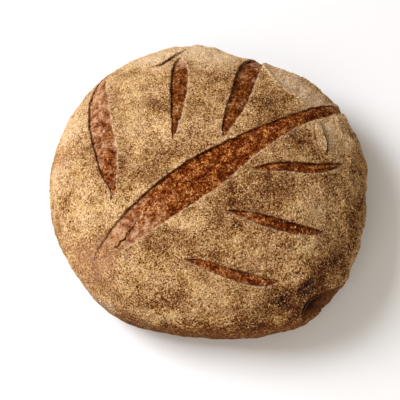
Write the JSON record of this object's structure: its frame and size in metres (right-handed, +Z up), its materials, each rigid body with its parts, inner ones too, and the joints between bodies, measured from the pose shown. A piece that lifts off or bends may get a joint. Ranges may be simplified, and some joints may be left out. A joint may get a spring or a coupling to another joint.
{
  "type": "sourdough loaf",
  "caption": "Whole round sourdough loaf, dusted with coarse flour and scored like an ear of wheat, standing on its flat underside.",
  "frame": {"origin": "on the floor plane, at the middle of the loaf's box seen from above", "axes": "+Z up, +X to the right of the view that the loaf is scored for, +Y away from it"},
  "size_m": [0.2528, 0.249, 0.0935],
  "materials": {
    "crust": "matte"
  },
  "bodies": {
    "root": {"loaf": "crust"}
  },
  "joints": []
}
